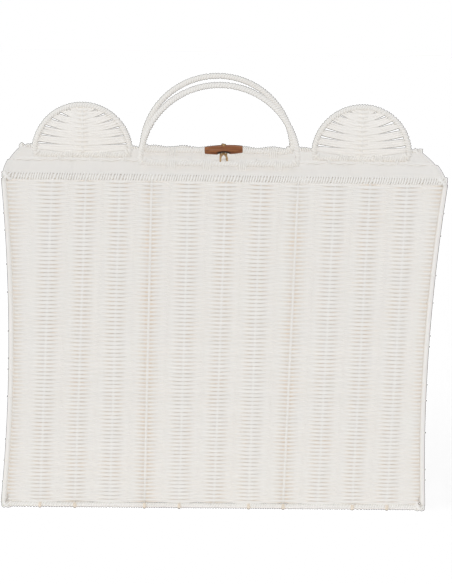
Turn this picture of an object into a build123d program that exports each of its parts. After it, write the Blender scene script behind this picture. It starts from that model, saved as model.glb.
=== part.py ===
from build123d import *
import math
import os

# Wicker storage trunk: an upright case of two woven half shells, hinged along the bottom
# of the seam between them and closed at the top by a wooden toggle. Millimetres.
# +Z is up, +X is to the right, the front face looks along -Y. The origin is on the floor,
# under the middle of the seam.

# ---------------------------------------------------------------- overall sizes
CASE_WIDTH = 440.0
HALF_DEPTH = 92.0
CASE_HEIGHT = 352.0
BACK_DROP = 2.5             # the back half is this much lower than the front half
WAIST = 8.0                 # how far each side bows in at mid height
SEAM_GAP = 0.3              # from the seam plane to each half's rim
FIT_GAP = 0.5               # room at the ends and sides of the bowed corner posts

# ---------------------------------------------------------------- woven walls
WALL = 5.0                  # thickness of a woven wall, strands over and under the stakes
FACE_RECESS = 1.5           # face behind the front of the edge rods
TOP_RECESS = 1.5            # top wall below the top of the edge rods
SIDE_RECESS = 1.0           # side wall inside the outside of the corner posts
FLOOR_CLEARANCE = 5.5       # bottom wall above the floor, so the hinge eyes hang free
STAKE_R = 1.5
STAKE_PITCH = 36.0
FACE_STAKES = 11
SIDE_STAKE_DEPTHS = (34.0, 60.0)

# ---------------------------------------------------------------- rods of the frame
TOP_ROD_R = 4.0             # outside of the reed wrapping
BOTTOM_ROD_R = 3.0
FOOT_FLAT = 0.35            # wrapping worn away flat where it stands on the floor
CORE_R = 2.0                # bare cane inside a wrapping
POST_R = 4.0
DEPTH_ROD_R = 4.0
RIM = 8.0                   # width and height of the mouth rim's section
RIM_RAISE = 1.0             # rim above the top of the edge rods
RIM_BOTTOM = 5.0
RIM_ROUND = 2.5
RIM_CORNER_R = 6.0

# ---------------------------------------------------------------- handles
HANDLE_Y = 45.0             # each handle stands on the middle of its half
HANDLE_X = -5.5             # both handles stand a little left of the middle
HANDLE_HALF_SPAN = 80.0
HANDLE_RISE = 80.0
HANDLE_R = 3.0
HANDLE_SEAT = 4.0           # bar's centre above the top wall
HANDLE_CORNER_R = 6.0
LASHING_WIDTH = 8.0
LASHING_REED = 1.5
HANDLE_LASHINGS = (-54.0, -18.0, 18.0, 54.0)    # halfway between stakes
BAR_CLEARANCE = 0.15

# ---------------------------------------------------------------- ears
EAR_X = {"left": -147.0, "right": 145.0}
EAR_Y = 16.0
EAR_HALF_SPAN = 49.5
EAR_RISE = {"left": 52.5, "right": 54.5}    # bent by hand, so the two differ a little
EAR_R = 3.0
EAR_CORNER_R = 5.0
EAR_WEAVE = 4.0
EAR_LASHINGS = {"left": (-162.0, -126.0), "right": (126.0, 162.0)}

# ---------------------------------------------------------------- hinge
HINGE_Z = 2.6               # axis height, below both rims
HINGE_XS = (-140.0, 0.0, 140.0)
KNUCKLE_PITCH = 6.0
KNUCKLE_WIDTH = 5.6
EYE_R = 2.1
PIN_R = 1.0
PIN_RUNNING_CLEARANCE = 0.08
BAND = 1.2                  # thickness of the cane band around a rim

# ---------------------------------------------------------------- toggle and its cords
TOGGLE_CENTRE = (0.0, 3.0, 360.7)
TOGGLE_LENGTH = 39.5
TOGGLE_MID_R = 4.9
TOGGLE_END_R = 3.6
TOGGLE_TILT = 2.5           # degrees, left end lower
TOGGLE_HOLE_R = 2.0
NOTCH_R = 12.0
NOTCH_DEPTH = 2.6
TIE_SHANK_R = 1.8
TIE_KNOT_R = 2.4
TIE_STRAND_R = 0.9
TIE_SPREAD = 3.4
TIE_ANCHOR_Y = -10.5
LOOP_STRAND_R = 0.8
LOOP_R = 3.2
LOOP_ANCHOR_Y = 11.0

# ---------------------------------------------------------------- worked-out places
EDGE_X = CASE_WIDTH / 2 - POST_R
TOP_ROD_Y = HALF_DEPTH - TOP_ROD_R
BOTTOM_ROD_Y = HALF_DEPTH - BOTTOM_ROD_R
BOTTOM_ROD_Z = BOTTOM_ROD_R - FOOT_FLAT
FACE_OUT = HALF_DEPTH - FACE_RECESS
FACE_IN = FACE_OUT - WALL
FACE_LOW = BOTTOM_ROD_Z + BOTTOM_ROD_R
POST_LOW = FACE_LOW + FIT_GAP
RIM_IN_Y = SEAM_GAP + RIM
MID_Z = CASE_HEIGHT / 2
WAIST_R = (MID_Z ** 2 + WAIST ** 2) / (2 * WAIST)
STAKE_XS = [(i - FACE_STAKES // 2) * STAKE_PITCH for i in range(FACE_STAKES)]
DEPTH_ROD_LOW_Z = FLOOR_CLEARANCE + DEPTH_ROD_R
HALVES = {"front": -1, "back": 1}
HEIGHTS = {-1: CASE_HEIGHT, 1: CASE_HEIGHT - BACK_DROP}


# ---------------------------------------------------------------- heights of each half
def face_high(s):
    """Top of the woven face, under the top edge rod."""
    return HEIGHTS[s] - 2 * TOP_ROD_R


def top_out(s):
    """Upper side of the woven top wall."""
    return HEIGHTS[s] - TOP_RECESS


def rim_top(s):
    """Top of the mouth rim."""
    return HEIGHTS[s] + RIM_RAISE


def high_depth_rod_z(s):
    """Centre of the upper side edge rods."""
    return top_out(s) - DEPTH_ROD_R


# ---------------------------------------------------------------- building blocks
def block(x0, x1, y0, y1, z0, z1):
    """A box between two corners, given in any order."""
    centre = Pos((x0 + x1) / 2, (y0 + y1) / 2, (z0 + z1) / 2)
    return centre * Box(abs(x1 - x0), abs(y1 - y0), abs(z1 - z0))


def rod(start, end, radius):
    """A straight round rod between two points."""
    path = Line(start, end)
    return sweep(Plane(origin=path @ 0, z_dir=path % 0) * Circle(radius), path)


def tube_along(path, radius):
    """A round rod along a wire."""
    return sweep(Plane(origin=path @ 0, z_dir=path % 0) * Circle(radius), path)


def waist_x(base, z):
    """The x of a side line that is at base beside the floor and the top, and bows in between."""
    return base - WAIST + WAIST_R - math.sqrt(WAIST_R ** 2 - (z - MID_Z) ** 2)


def waist_arc(base, side, y, z0, z1):
    """The bowed side line between two heights, on one side of the case."""
    heights = (z0, (z0 + z1) / 2, z1)
    return ThreePointArc(*[(side * waist_x(base, z), y, z) for z in heights])


def bowed_plate(outer, inner, side, y0, y1, z0, z1):
    """A plate along a bowed side, between two side lines and two depths."""
    out_arc = waist_arc(outer, side, y0, z0, z1)
    in_arc = waist_arc(inner, side, y0, z0, z1)
    edges = [out_arc, in_arc, Line(out_arc @ 0, in_arc @ 0), Line(out_arc @ 1, in_arc @ 1)]
    return extrude(Face(Wire(edges)), amount=y1 - y0, dir=(0, 1, 0))


def d_wire(x, y, z, half_span, rise, corner):
    """A D lying on its straight side: a bar, two rounded corners and an arch."""
    arch = ThreePointArc((x - half_span, y, z), (x, y, z + rise), (x + half_span, y, z))
    bar = Line(arch @ 1, arch @ 0)
    wire = Wire([arch, bar])
    return wire.fillet_2d(corner, wire.vertices())


def lashing(x, y, bar_z, bar_r, wall_low):
    """Reed wound round a bar and through the wall under it, as one closed stadium ring."""
    outer_r = bar_r + LASHING_REED
    start = x - LASHING_WIDTH / 2
    end = x + LASHING_WIDTH / 2
    head = rod((start, y, bar_z), (end, y, bar_z), outer_r)
    legs = block(start, end, y - outer_r, y + outer_r, wall_low - LASHING_REED, bar_z)
    hollow = rod((start, y, bar_z), (end, y, bar_z), bar_r)
    hollow += block(start, end, y - bar_r, y + bar_r, wall_low, bar_z)
    return head + legs - hollow


# ---------------------------------------------------------------- one woven half
def stake_sets(s):
    """The upright stakes of a half: face, top, bottom and side walls."""
    face_y = s * (FACE_OUT - WALL / 2)
    top_z = top_out(s) - WALL / 2
    bottom_z = FLOOR_CLEARANCE + WALL / 2
    sets = {"face": [], "top": [], "bottom": [], "left": [], "right": []}
    for x in STAKE_XS:
        sets["face"].append(rod((x, face_y, FACE_LOW), (x, face_y, face_high(s)), STAKE_R))
        rim_y = s * RIM_IN_Y
        sets["top"].append(rod((x, rim_y, top_z), (x, s * (HALF_DEPTH - 2 * TOP_ROD_R), top_z), STAKE_R))
        sets["bottom"].append(rod((x, rim_y + s * BAND, bottom_z), (x, s * FACE_IN, bottom_z), STAKE_R))
    wall_low = DEPTH_ROD_LOW_Z + DEPTH_ROD_R
    wall_high = high_depth_rod_z(s) - DEPTH_ROD_R
    base = CASE_WIDTH / 2 - SIDE_RECESS - WALL / 2
    for name, side in (("left", -1), ("right", 1)):
        for depth in SIDE_STAKE_DEPTHS:
            path = waist_arc(base, side, s * depth, wall_low, wall_high)
            sets[name].append(tube_along(path, STAKE_R))
    return sets


def face_wall(s):
    """The big woven face, between the corner posts and the two edge rods."""
    base = EDGE_X - POST_R - FIT_GAP / 4
    y = s * FACE_OUT
    left = waist_arc(base, -1, y, FACE_LOW, face_high(s))
    right = waist_arc(base, 1, y, FACE_LOW, face_high(s))
    edges = [left, right, Line(left @ 0, right @ 0), Line(left @ 1, right @ 1)]
    return extrude(Face(Wire(edges)), amount=WALL, dir=(0, -s, 0))


def side_wall(s, side):
    """A woven side wall, bowed in at the waist."""
    outer = CASE_WIDTH / 2 - SIDE_RECESS
    y0 = s * RIM_IN_Y
    y1 = s * (HALF_DEPTH - 2 * POST_R)
    low = DEPTH_ROD_LOW_Z + DEPTH_ROD_R
    high = high_depth_rod_z(s) - DEPTH_ROD_R
    return bowed_plate(outer, outer - WALL, side, min(y0, y1), max(y0, y1), low, high)


def top_wall(s):
    """The woven top wall, from the rim to the top edge rod."""
    half = EDGE_X - DEPTH_ROD_R
    y1 = s * (HALF_DEPTH - 2 * TOP_ROD_R)
    return block(-half, half, s * RIM_IN_Y, y1, top_out(s) - WALL, top_out(s))


def bottom_wall(s):
    """The woven bottom wall, raised off the floor between the two bottom edge rods."""
    half = EDGE_X - DEPTH_ROD_R
    return block(-half, half, s * RIM_IN_Y, s * FACE_IN, FLOOR_CLEARANCE, FLOOR_CLEARANCE + WALL)


def edge_rod(s, y, z, outer_r):
    """A cane rod across the case and the reed wrapping round it."""
    half = CASE_WIDTH / 2
    core = rod((-half, s * y, z), (half, s * y, z), CORE_R)
    sleeve = rod((-half, s * y, z), (half, s * y, z), outer_r) - core
    return core, sleeve


def worn_foot(sleeve):
    """A bottom edge wrapping, worn flat at floor height."""
    half = CASE_WIDTH / 2
    return sleeve - block(-half, half, -HALF_DEPTH, HALF_DEPTH, -BOTTOM_ROD_R, 0)


def corner_post(s, side):
    """The upright corner cane that the weavers turn round."""
    path = waist_arc(EDGE_X, side, s * TOP_ROD_Y, POST_LOW, face_high(s) - FIT_GAP)
    return tube_along(path, POST_R)


def depth_rods(s):
    """The four short rods that run from the face to the rim along the edges of the side walls."""
    rods = []
    y0 = s * RIM_IN_Y
    y1 = s * (HALF_DEPTH - 2 * TOP_ROD_R)
    for side in (-1, 1):
        for z in (DEPTH_ROD_LOW_Z, high_depth_rod_z(s)):
            rods.append(rod((side * EDGE_X, y0, z), (side * EDGE_X, y1, z), DEPTH_ROD_R))
    return rods


def rim_core(s):
    """The bent cane rod that runs round the mouth of a half."""
    y = s * (SEAM_GAP + RIM / 2)
    low = RIM_BOTTOM + RIM / 2
    high = rim_top(s) - RIM / 2
    base = CASE_WIDTH / 2 - RIM / 2
    left = waist_arc(base, -1, y, low, high)
    right = waist_arc(base, 1, y, low, high)
    wire = Wire([left, Line(left @ 1, right @ 1), right, Line(right @ 0, left @ 0)])
    return tube_along(wire.fillet_2d(RIM_CORNER_R, wire.vertices()), CORE_R)


def rounded_rim_bar(s, z0, z1, outer_z):
    """A straight length of rim across the case, rounded along its two outer edges."""
    half = CASE_WIDTH / 2
    bar = block(-half, half, s * SEAM_GAP, s * RIM_IN_Y, z0, z1)
    outer = [e for e in bar.edges().filter_by(Axis.X) if abs(e.center().Z - outer_z) < 0.01]
    return fillet(outer, RIM_ROUND)


def rim_side(s, side):
    """The bowed length of rim up one side of the mouth."""
    outer = CASE_WIDTH / 2
    y0 = s * SEAM_GAP
    y1 = s * RIM_IN_Y
    return bowed_plate(outer, outer - RIM, side, min(y0, y1), max(y0, y1),
                       RIM_BOTTOM + RIM, rim_top(s) - RIM)


# ---------------------------------------------------------------- handle, ear, hinge, toggle
def hoop(x, y, z, half_span, rise, corner, outer_r):
    """A closed D of cane and the reed wrapping round it."""
    wire = d_wire(x, y, z, half_span, rise, corner)
    core = tube_along(wire, CORE_R)
    return core, tube_along(wire, outer_r) - core


def ear_weave(x, rise):
    """The woven infill of an ear, with a channel for its spine."""
    low = top_out(1) + 2 * EAR_R
    wire = d_wire(x, EAR_Y - EAR_WEAVE / 2, low, EAR_HALF_SPAN - EAR_R, rise - 2 * EAR_R,
                  EAR_CORNER_R - EAR_R)
    plate = extrude(Face(wire), amount=EAR_WEAVE, dir=(0, 1, 0))
    spine = rod((x, EAR_Y, low), (x, EAR_Y, top_out(1) + rise), STAKE_R)
    return plate - spine, spine


def hinge_knuckle(s, x, bore_r):
    """A cane band round the bottom rim, with the eye that turns on the pin."""
    x0 = x - KNUCKLE_WIDTH / 2
    x1 = x + KNUCKLE_WIDTH / 2
    outer = block(x0, x1, s * SEAM_GAP, s * (RIM_IN_Y + BAND), RIM_BOTTOM - BAND, RIM_BOTTOM + RIM + BAND)
    inner = block(x0, x1, s * (SEAM_GAP + BAND), s * RIM_IN_Y, RIM_BOTTOM, RIM_BOTTOM + RIM)
    eye = rod((x0, 0, HINGE_Z), (x1, 0, HINGE_Z), EYE_R)
    bore = rod((x0, 0, HINGE_Z), (x1, 0, HINGE_Z), bore_r)
    return outer - inner + eye - bore


def hinge_parts():
    """Three cane hinges: knuckles on the back and front rims, turning on one pin each."""
    back, front, pins = [], [], []
    for x in HINGE_XS:
        for i in (-2, 0, 2):
            back.append(hinge_knuckle(1, x + i * KNUCKLE_PITCH, PIN_R))
        for i in (-1, 1):
            front.append(hinge_knuckle(-1, x + i * KNUCKLE_PITCH, PIN_R + PIN_RUNNING_CLEARANCE))
        reach = 2.5 * KNUCKLE_PITCH + PIN_R
        pins.append(rod((x - reach, 0, HINGE_Z), (x + reach, 0, HINGE_Z), PIN_R))
    return back, front, pins


def toggle_barrel():
    """A turned wooden barrel, drilled for its tie and hollowed under the middle."""
    half = TOGGLE_LENGTH / 2
    profile = ThreePointArc((-half, 0, TOGGLE_END_R), (0, 0, TOGGLE_MID_R), (half, 0, TOGGLE_END_R))
    sides = Polyline((half, 0, TOGGLE_END_R), (half, 0, 0), (-half, 0, 0), (-half, 0, TOGGLE_END_R))
    barrel = revolve(Face(Wire(profile.edges() + sides.edges())), Axis.X, 360)
    ends = barrel.edges().filter_by(GeomType.CIRCLE)
    barrel = chamfer(ends, 0.5)
    notch = Pos(0, 0, NOTCH_DEPTH - TOGGLE_MID_R - NOTCH_R) * Rot(90, 0, 0) * Cylinder(NOTCH_R, 20)
    tilted = Rot(0, -TOGGLE_TILT, 0) * (barrel - notch)
    hole = Cylinder(TOGGLE_HOLE_R, 20)
    seat = Pos(0, 0, TOGGLE_MID_R - 0.6) * Sphere(TIE_KNOT_R + 0.3)
    return Pos(*TOGGLE_CENTRE) * (tilted - hole - seat)


def toggle_tie():
    """The twine that holds the toggle: a knot, a shank and two strands over the front rim."""
    x, y, z = TOGGLE_CENTRE
    foot_z = z - TOGGLE_MID_R - 0.4
    tie = rod((x, y, foot_z), (x, y, z + TOGGLE_MID_R), TIE_SHANK_R)
    tie += Pos(x, y, z + TOGGLE_MID_R - 0.6) * Sphere(TIE_KNOT_R)
    rest_z = rim_top(-1) + TIE_STRAND_R + 0.4
    for side in (-1, 1):
        route = FilletPolyline(
            (x + side * TIE_STRAND_R, y, foot_z + 2.5),
            (x + side * TIE_STRAND_R, y, foot_z - 0.7),
            (x + side * TIE_SPREAD, TIE_ANCHOR_Y, rest_z),
            (x + side * TIE_SPREAD, TIE_ANCHOR_Y, top_out(-1)),
            radius=2 * TIE_STRAND_R)
        tie += tube_along(route, TIE_STRAND_R)
    return tie


def keeper_loop():
    """The twine loop on the back rim that the toggle's shank stands in."""
    x, y, z = TOGGLE_CENTRE
    ring_z = z - TOGGLE_MID_R + 0.8
    rest_z = rim_top(1) + LOOP_STRAND_R + 0.3
    bow = ThreePointArc((x - LOOP_R, y, ring_z), (x, y - LOOP_R, ring_z), (x + LOOP_R, y, ring_z))
    loop = tube_along(bow, LOOP_STRAND_R)
    for side in (-1, 1):
        route = FilletPolyline(
            (x + side * LOOP_R, y, ring_z),
            (x + side * LOOP_R, y + 1.8, ring_z),
            (x + side * LOOP_R, LOOP_ANCHOR_Y, rest_z),
            (x + side * LOOP_R, LOOP_ANCHOR_Y, top_out(1)),
            radius=2 * LOOP_STRAND_R)
        loop += tube_along(route, LOOP_STRAND_R)
    return loop


# ---------------------------------------------------------------- assembly
def half_nodes(name, s, knuckles, lashings):
    """Every node of one woven half, with room cut for its knuckles and lashings."""
    stakes = stake_sets(s)
    core = rim_core(s)
    top_core, top_sleeve = edge_rod(s, TOP_ROD_Y, HEIGHTS[s] - TOP_ROD_R, TOP_ROD_R)
    low_core, low_sleeve = edge_rod(s, BOTTOM_ROD_Y, BOTTOM_ROD_Z, BOTTOM_ROD_R)
    rim_low = rounded_rim_bar(s, RIM_BOTTOM, RIM_BOTTOM + RIM, RIM_BOTTOM) - core
    rim_high = rounded_rim_bar(s, rim_top(s) - RIM, rim_top(s), rim_top(s)) - core
    floor = bottom_wall(s) - stakes["bottom"] - knuckles
    return {
        f"{name}_face_weave": face_wall(s) - stakes["face"],
        f"{name}_top_weave": top_wall(s) - stakes["top"] - lashings,
        f"{name}_bottom_weave": floor,
        f"{name}_left_weave": side_wall(s, -1) - stakes["left"],
        f"{name}_right_weave": side_wall(s, 1) - stakes["right"],
        f"{name}_stakes": [rod for group in stakes.values() for rod in group],
        f"{name}_top_edge_rod": top_core,
        f"{name}_top_edge_wrap": top_sleeve,
        f"{name}_bottom_edge_rod": low_core,
        f"{name}_bottom_edge_wrap": worn_foot(low_sleeve),
        f"{name}_left_corner_post": corner_post(s, -1),
        f"{name}_right_corner_post": corner_post(s, 1),
        f"{name}_side_edge_rods": depth_rods(s),
        f"{name}_rim_rod": core,
        f"{name}_rim_bottom": rim_low - knuckles,
        f"{name}_rim_top": rim_high,
        f"{name}_rim_left": rim_side(s, -1) - core,
        f"{name}_rim_right": rim_side(s, 1) - core,
    }


def handle_nodes(name, s, lashings):
    """One handle: a wrapped cane D, held by lashings that let it swing."""
    core, sleeve = hoop(HANDLE_X, s * HANDLE_Y, top_out(s) + HANDLE_SEAT, HANDLE_HALF_SPAN, HANDLE_RISE,
                        HANDLE_CORNER_R, HANDLE_R)
    return {
        f"{name}_handle_rod": core,
        f"{name}_handle_wrap": sleeve,
        f"{name}_handle_lashings": lashings,
    }


def ear_nodes(name, lashings):
    """One ear: a wrapped cane D with a spine and a woven infill."""
    x = EAR_X[name]
    rise = EAR_RISE[name]
    core, sleeve = hoop(x, EAR_Y, top_out(1) + EAR_R, EAR_HALF_SPAN, rise, EAR_CORNER_R, EAR_R)
    weave, spine = ear_weave(x, rise)
    return {
        f"{name}_ear_rod": core,
        f"{name}_ear_wrap": sleeve,
        f"{name}_ear_spine": spine,
        f"{name}_ear_weave": weave - lashings,
    }


def trunk():
    """Every node of the trunk, by name."""
    back_knuckles, front_knuckles, pins = hinge_parts()
    handle_ties = {}
    for name, s in HALVES.items():
        bar_z = top_out(s) + HANDLE_SEAT
        handle_ties[name] = [lashing(x, s * HANDLE_Y, bar_z, HANDLE_R + BAR_CLEARANCE, top_out(s) - WALL)
                             for x in HANDLE_LASHINGS]
    ear_ties = {name: [lashing(x, EAR_Y, top_out(1) + EAR_R, EAR_R, top_out(1) - WALL) for x in xs]
                for name, xs in EAR_LASHINGS.items()}
    all_ear_ties = ear_ties["left"] + ear_ties["right"]
    nodes = half_nodes("front", -1, front_knuckles, handle_ties["front"])
    nodes.update(half_nodes("back", 1, back_knuckles, handle_ties["back"] + all_ear_ties))
    for name, s in HALVES.items():
        nodes.update(handle_nodes(name, s, handle_ties[name]))
    for name, ties in ear_ties.items():
        nodes.update(ear_nodes(name, ties))
    nodes["ear_lashings"] = all_ear_ties
    nodes["back_hinge_bands"] = back_knuckles
    nodes["front_hinge_bands"] = front_knuckles
    nodes["hinge_pins"] = pins
    nodes["toggle"] = toggle_barrel()
    nodes["toggle_tie"] = toggle_tie()
    nodes["keeper_loop"] = keeper_loop()
    return nodes


os.makedirs("parts", exist_ok=True)
for node, shape in trunk().items():
    solids = shape if isinstance(shape, list) else [shape]
    export_step(Compound(label=node, children=[s for part in solids for s in part.solids()]),
                f"parts/{node}.step")
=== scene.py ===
import math

import bpy
import numpy as np
from mathutils import Matrix, Vector


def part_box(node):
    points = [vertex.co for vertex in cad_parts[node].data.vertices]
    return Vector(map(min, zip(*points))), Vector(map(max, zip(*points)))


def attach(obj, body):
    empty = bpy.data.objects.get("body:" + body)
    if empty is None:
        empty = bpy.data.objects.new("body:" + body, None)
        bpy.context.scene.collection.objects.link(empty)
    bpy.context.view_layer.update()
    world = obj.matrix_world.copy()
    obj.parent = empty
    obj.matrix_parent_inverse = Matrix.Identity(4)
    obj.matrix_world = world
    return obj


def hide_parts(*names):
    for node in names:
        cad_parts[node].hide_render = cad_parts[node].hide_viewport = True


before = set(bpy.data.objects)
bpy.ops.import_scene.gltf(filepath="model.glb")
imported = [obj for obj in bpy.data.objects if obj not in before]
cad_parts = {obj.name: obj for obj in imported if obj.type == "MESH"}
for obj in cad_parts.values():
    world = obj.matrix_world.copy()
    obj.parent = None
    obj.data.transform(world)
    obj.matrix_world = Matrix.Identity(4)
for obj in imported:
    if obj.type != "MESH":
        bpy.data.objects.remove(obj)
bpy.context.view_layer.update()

# Looks of the wicker trunk: every woven wall, wrapped rod, rim, handle and ear is made of real
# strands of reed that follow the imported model's boxes. Metres throughout; MM turns millimetres
# into metres. A body named "front_half" holds the nodes whose names start with "front".

MM = 0.001
scene = bpy.context.scene

# ---- reed and weave sizes
REED_R = 0.97 * MM        # half the thickness of a weaver
REED_SIDE = 1.06 * MM     # half its width along the wall, so that packed rows touch
REED_VARIES = 0.09        # share by which weavers differ in thickness
UNEVEN = 0.03             # share by which every other weaver is thicker, and the rest thinner
FLATTEN = 0.28            # how much thinner a weaver is where it is spread over a stake
ROW_PITCH = 2.07 * MM     # from one weaver to the next
ROW_WANDER = 1.0 * MM     # how far a weaver of the face strays up and down
FLOAT_RISE = 0.95 * MM    # a weaver's centre off the wall's middle where it passes a stake
FLOAT_SPREAD = 1.05 * MM  # how much a weaver flattens sideways where it is bent over a stake
SPREAD_VARIES = 0.12      # share by which that flattening differs from place to place
BEND_WIDTH = 5.0 * MM     # how far from a stake a weaver is bent round it
BEND_SHARE = 0.3          # of its rise; the rest eases over the whole bay
BAY_STEPS = (0.0, 0.08, 0.17, 0.32, 0.5, 0.68, 0.83, 0.92)  # a weaver's points between two stakes

STAKE_COUNT = 11          # in each face
STAKE_PITCH = 36.0 * MM
STAKE_R = 1.4 * MM
STAKE_FAN = 10 * MM       # how far the leftmost stakes lean inwards at the top
STAKE_SWAY = 1.2 * MM     # how far a stake strays from its line
STAKE_BARE = 0.15         # how bare of paint the stakes are, of 1
SIDE_STAKES = (34.0 * MM, 60.0 * MM)  # the side walls' stakes, measured from the seam
OPEN_STAKES = (3, 7)      # stakes with looser weaving round them, below the handles' feet
OPEN_AMOUNT = 0.95        # how much of the weavers' flattening is missing there
OPEN_WIDTH = 4.5 * MM     # how far from such a stake

CORE_R = 2.0 * MM         # the cane inside each wrapped rod, handle, ear and rim
POST_R = 2.5 * MM         # the smooth cane outside the weavers' turn at each corner
POST_INSET = 3.2 * MM     # from that cane's middle to the middle of the weavers' turn
CORNER_SIGN = 0.8         # how far out the weavers stand at a corner, of their full rise
CORNER_TIGHT = 0.45       # how much of their flattening is missing there
CORNER_REACH = 16 * MM    # how far from the corner
CORNER_DEPTH = 4 * MM     # how far behind the face

WRAP_PITCH = 2.5 * MM     # from one turn of reed to the next along a wrapped edge
HANDLE_PITCH = 2.7 * MM   # the same along a handle or an ear's hoop
EDGE_WAVE = 0.9 * MM      # rise of the back's top edge where each stake carries over it
TURN_STEPS = 12           # points in one turn of a wrapping
TURN_R = 0.8 * MM         # half the thickness of a wrapping's strand

# ---- the hand-made case's lean and bulge
LEAN = 0.016              # the case leans to the right by this share of its height
LEAN_TOP = 0.348          # height above which nothing leans
BULGE = 4.5 * MM          # how far the top's two ends bulge out at the seam
BULGE_END = 0.196         # distance from the middle at which the bulge starts
BULGE_OVER = 0.018        # distance over which it grows
BULGE_FOOT = 0.12         # height at which it starts
BULGE_HEIGHT = 0.22       # height over which it grows
BULGE_DEPTH = 0.09        # distance from the seam at which it ends

# ---- paint worn off the weavers, and painted shade on the wrappings, from 0 to 1
WRAP_SHADE = 0.46          # painted shade beside a wrapping's strand
WRAP_SHADE_DROP = 0.75         # how much less painted shade on its outer side
FLOAT_BARE = 0.62         # beside a weaver where it passes a stake
FLOAT_COVER = 0.72        # how much less on its outer side
BAY_BARE = 0.1            # on a weaver between stakes

# ---- light
STUDIO_LIGHT = 0.61       # strength of the white surroundings on the trunk
FRONT_LIGHT = 0.68        # fill from the front
SIDE_LIGHT = 0.22         # from the left, the only lamp that casts shadows
REAR_LIGHT = 0.48         # fill from above and behind


# ---- small maths
def unit(v):
    """Rows of v at length one."""
    return v / np.maximum(np.linalg.norm(v, axis=-1, keepdims=True), 1e-12)


def ripple(a, b, seed):
    """A smooth hand-made wander from about -1 to 1 over two coordinates in metres."""
    wavelengths = (0.9, 0.45, 0.2, 0.09)
    highest = 2.4
    rng = np.random.RandomState(seed)
    total = 0.0
    for size in wavelengths:
        ka, kb = rng.uniform(-1, 1, 2) * 2 * math.pi / size
        total = total + math.sqrt(size) * np.sin(ka * a + kb * b + rng.uniform(0, 2 * math.pi))
    return total / highest


def run_lengths(line):
    """The distance along a polyline at each of its points."""
    return np.r_[0, np.cumsum(np.linalg.norm(np.diff(line, axis=0), axis=1))]


def at_distance(line, lengths, distance):
    """Points at distances along a polyline."""
    return np.stack([np.interp(distance, lengths, line[:, k]) for k in range(3)], axis=1)


def spaced(points, steps):
    """Points spread evenly by length round a closed polyline."""
    line = np.vstack([points, points[:1]])
    lengths = run_lengths(line)
    return at_distance(line, lengths, np.linspace(0, lengths[-1], steps, endpoint=False))


def xyz(x, y, z):
    """Points, or directions, from their three coordinates."""
    return np.stack(np.broadcast_arrays(x, y, z), axis=-1)


def full_circle(steps):
    """Angles evenly round a circle, in radians."""
    return np.linspace(0, 2 * math.pi, steps, endpoint=False)


def arc_points(centre, radius, start, end, steps, y):
    """Points of an arc in the XZ plane, angles in degrees from +X towards +Z."""
    a = np.radians(np.linspace(start, end, steps))
    return xyz(centre[0] + radius * np.cos(a), y, centre[1] + radius * np.sin(a))


# ---- bundles of strands
def leaned(paths):
    """Paths moved as the hand-made case is: its foot stands left of its top, and its top
    bulges at both ends between the front and the back."""
    paths = paths.copy()
    x, y, z = paths[..., 0], paths[..., 1], paths[..., 2]
    near_end = np.clip((np.abs(x) - BULGE_END) / BULGE_OVER, 0, 1)
    near_top = np.clip((z - BULGE_FOOT) / BULGE_HEIGHT, 0, 1) ** 2
    near_seam = np.clip(1 - (y / BULGE_DEPTH) ** 2, 0, 1)
    bulge = np.sign(x) * BULGE * near_end * near_top * near_seam
    paths[..., 0] += bulge + LEAN * np.minimum(z - LEAN_TOP, 0)
    return paths


class Bundle:
    """Many strands gathered in one mesh, with how bare of paint each place is (on the wrappings:
    its painted shade) and how light it is.
    """

    def __init__(self, seed):
        self.rng = np.random.RandomState(seed)
        self.verts = []
        self.faces = []
        self.bare = []
        self.tone = []
        self.count = 0

    def add(self, paths, ups, radial, lateral, rise=None, closed=False, sides=6, bare=None):
        """Adds strands. paths and ups are (strands, points, 3); radial and lateral are half the
        thickness along ups and across it; rise is -1 to 1, how far each point stands out from
        the middle of its wall, and None for a wrapping; bare is set where it is all the
        same: how bare of paint each place is, and on the wrappings how much painted shade it has."""
        paths = leaned(np.asarray(paths, float))
        ups = np.broadcast_to(ups, paths.shape)
        strands, points, _ = paths.shape
        if closed:
            tangent = np.roll(paths, -1, 1) - np.roll(paths, 1, 1)
        else:
            tangent = np.gradient(paths, axis=1)
        tangent = unit(tangent)
        side = unit(np.cross(tangent, ups))
        up = np.cross(side, tangent)
        angle = 2 * math.pi * (np.arange(sides) + 0.5) / sides
        c = np.cos(angle)
        s = np.sin(angle)
        radial = np.broadcast_to(radial, (strands, points))[..., None]
        lateral = np.broadcast_to(lateral, (strands, points))[..., None]
        ring = paths[:, :, None, :] + up[:, :, None, :] * (radial * c)[..., None]
        ring = ring + side[:, :, None, :] * (lateral * s)[..., None]
        if bare is not None:
            shade = np.full((strands, points, sides), bare)
        # On a wrapping: painted shade on the sides of each strand, less on its outer side.
        elif rise is None:
            shade = np.clip(WRAP_SHADE - WRAP_SHADE_DROP * c, 0, 1) * np.ones((strands, points, 1))
        else:
            out = np.broadcast_to(rise, (strands, points))[..., None]
            weight = np.abs(out) ** 1.3
            beside = np.clip(FLOAT_BARE - FLOAT_COVER * c * np.sign(out), 0, 1)
            shade = weight * beside + (1 - weight) * BAY_BARE
        tone = self.rng.uniform(-1, 1, (strands, 1, 1)) * np.ones((1, points, sides))
        self.faces += strand_faces(strands, points, sides, closed, self.count)
        self.verts.append(ring.reshape(-1, 3))
        self.bare.append(shade.ravel())
        self.tone.append(tone.ravel())
        self.count += strands * points * sides

    def build(self, name, body, material, nodes=()):
        """Makes the mesh, and has it ride on its body and hide the CAD nodes that it stands for."""
        mesh = bpy.data.meshes.new(name)
        mesh.from_pydata(np.vstack(self.verts).tolist(), [], self.faces)
        mesh.polygons.foreach_set("use_smooth", [True] * len(mesh.polygons))
        for label, values in (("bare", self.bare), ("tone", self.tone)):
            layer = mesh.attributes.new(label, "FLOAT", "POINT")
            layer.data.foreach_set("value", np.concatenate(values).astype(np.float32))
        mesh.materials.append(material)
        place(bpy.data.objects.new(name, mesh), body, nodes)


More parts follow.
